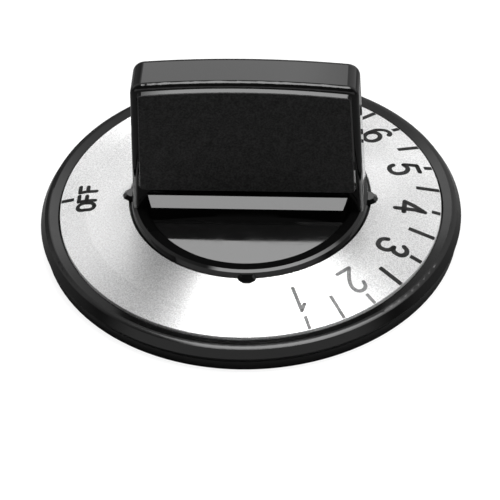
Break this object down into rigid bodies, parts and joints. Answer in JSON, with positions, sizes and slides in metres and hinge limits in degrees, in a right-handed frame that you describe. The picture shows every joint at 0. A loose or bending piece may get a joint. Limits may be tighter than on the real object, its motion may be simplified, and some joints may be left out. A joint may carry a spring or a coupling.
{
  "type": "thermostat knob",
  "caption": "Black bar-grip thermostat knob with a bevelled satin aluminium dial, printed with OFF and a plain number scale.",
  "frame": {"origin": "shaft axis in the plane of the skirt's foot", "axes": "+Z along the shaft axis, out of the panel to the grip; the grip lies along X, with OFF at -X"},
  "size_m": [0.06, 0.06, 0.0283],
  "materials": {
    "black_phenolic": "gloss, with matte grained finger pads",
    "satin_aluminium": "satin, spun",
    "spring_steel": "bright rolled"
  },
  "bodies": {
    "root": {"knob_body": "black_phenolic", "dial_plate": "satin_aluminium", "shaft_clip": "spring_steel"}
  },
  "joints": []
}
